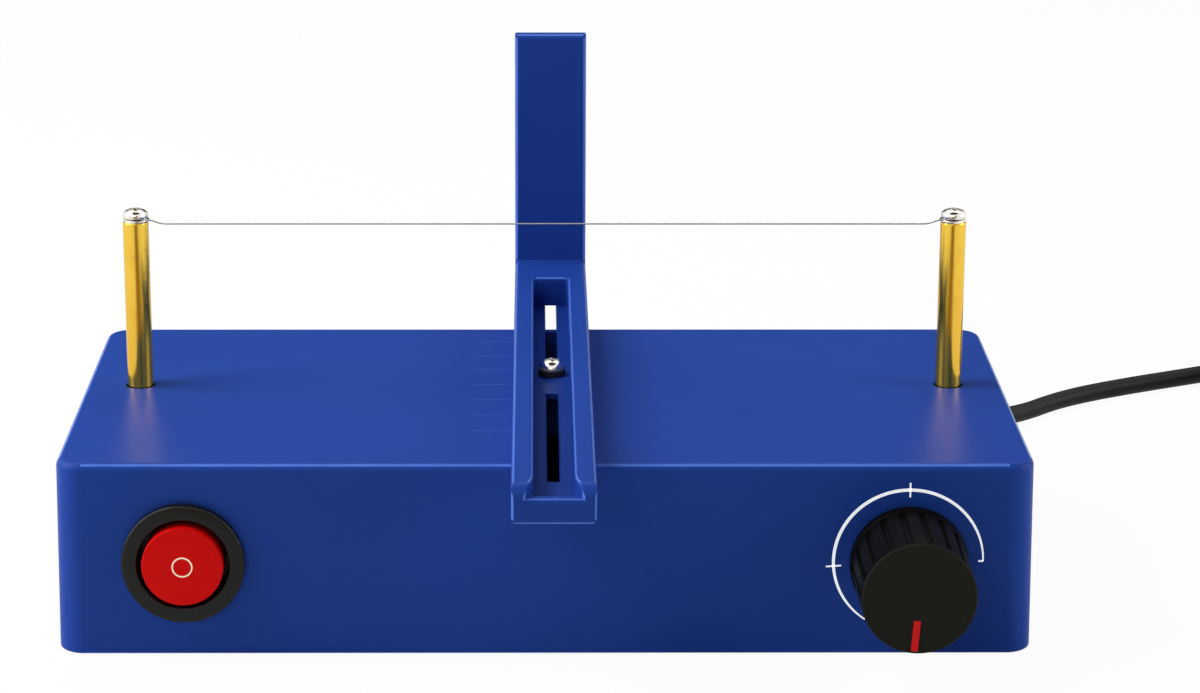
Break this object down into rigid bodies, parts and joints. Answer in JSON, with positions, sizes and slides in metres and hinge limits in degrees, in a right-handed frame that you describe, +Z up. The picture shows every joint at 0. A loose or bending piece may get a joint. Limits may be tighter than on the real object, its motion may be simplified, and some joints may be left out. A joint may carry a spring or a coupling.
{
  "type": "hot-wire cutter",
  "caption": "Bench hot-wire cutter: low moulded box with brass posts holding a heated wire, a sliding stop guide, a push switch, a heat knob and a low-voltage lead.",
  "frame": {"origin": "on the table, under the middle of the housing", "axes": "+X to the right along the housing, +Y to the rear, +Z up"},
  "size_m": [0.3111, 0.2171, 0.0938],
  "materials": {
    "blue_plastic": "satin moulded, royal blue",
    "foot_rubber": "matt black",
    "zinc_steel": "zinc plated",
    "post_brass": "polished",
    "bright_nickel": "polished nickel plate",
    "resistance_wire": "drawn bright",
    "tinned_brass": "tin plated",
    "black_plastic": "fine satin black",
    "red_plastic": "semi-gloss red",
    "pot_metal": "plain",
    "board_green": "solder mask",
    "block_green": "moulded",
    "header_white": "moulded",
    "capacitor_sleeve": "heat-shrink sleeve",
    "sink_aluminium": "extruded",
    "transistor_epoxy": "moulded epoxy",
    "lead_insulation": "stranded wire in PVC",
    "cord_sheath": "satin black PVC",
    "plug_nickel": "nickel plate"
  },
  "bodies": {
    "base": {"housing": "blue_plastic", "base_plate": "blue_plastic", "rubber_feet": "foot_rubber", "base_screws": "zinc_steel", "board_screws": "zinc_steel", "guide_nut": "zinc_steel", "pot_nut": "zinc_steel", "pot_washer": "zinc_steel", "left_post": "post_brass", "right_post": "post_brass", "post_nuts": "post_brass", "left_wire_screw": "bright_nickel", "right_wire_screw": "bright_nickel", "wire_washers": "bright_nickel", "guide_screw": "bright_nickel", "post_washers": "bright_nickel", "hot_wire": "resistance_wire", "ring_terminals": "tinned_brass", "switch_terminals": "tinned_brass", "pot_terminals": "tinned_brass", "switch_body": "black_plastic", "switch_nut": "black_plastic", "pot_body": "pot_metal", "control_board": "board_green", "lead_terminal_block": "block_green", "supply_terminal_block": "block_green", "control_header": "header_white", "capacitor": "capacitor_sleeve", "heat_sink": "sink_aluminium", "power_transistor": "transistor_epoxy", "post_leads": "lead_insulation", "switch_leads": "lead_insulation", "pot_leads": "lead_insulation", "supply_leads": "lead_insulation", "strain_relief": "cord_sheath", "power_cord": "cord_sheath", "cord_coil": "cord_sheath", "cord_tie": "cord_sheath", "plug_body": "cord_sheath", "plug_barrel": "plug_nickel"},
    "knob": {"heat_knob": "black_plastic", "knob_pointer": "red_plastic", "pot_shaft": "pot_metal"},
    "button": {"switch_button": "red_plastic"},
    "guide": {"stop_guide": "blue_plastic"}
  },
  "joints": [
    {"name": "knob_turn", "type": "hinge", "parent": "base", "child": "knob", "pos_m": [0.0669, -0.0455, 0.0185], "axis": [0, 1, 0], "range_deg": [0, 270]},
    {"name": "button_press", "type": "slide", "parent": "base", "child": "button", "axis": [0, 1, 0], "range_m": [0, 0.0025], "stiffness_N_per_m": 600, "springref_m": -0.001},
    {"name": "guide_slide", "type": "slide", "parent": "base", "child": "guide", "axis": [0, 1, 0], "range_m": [-0.046, 0]}
  ]
}
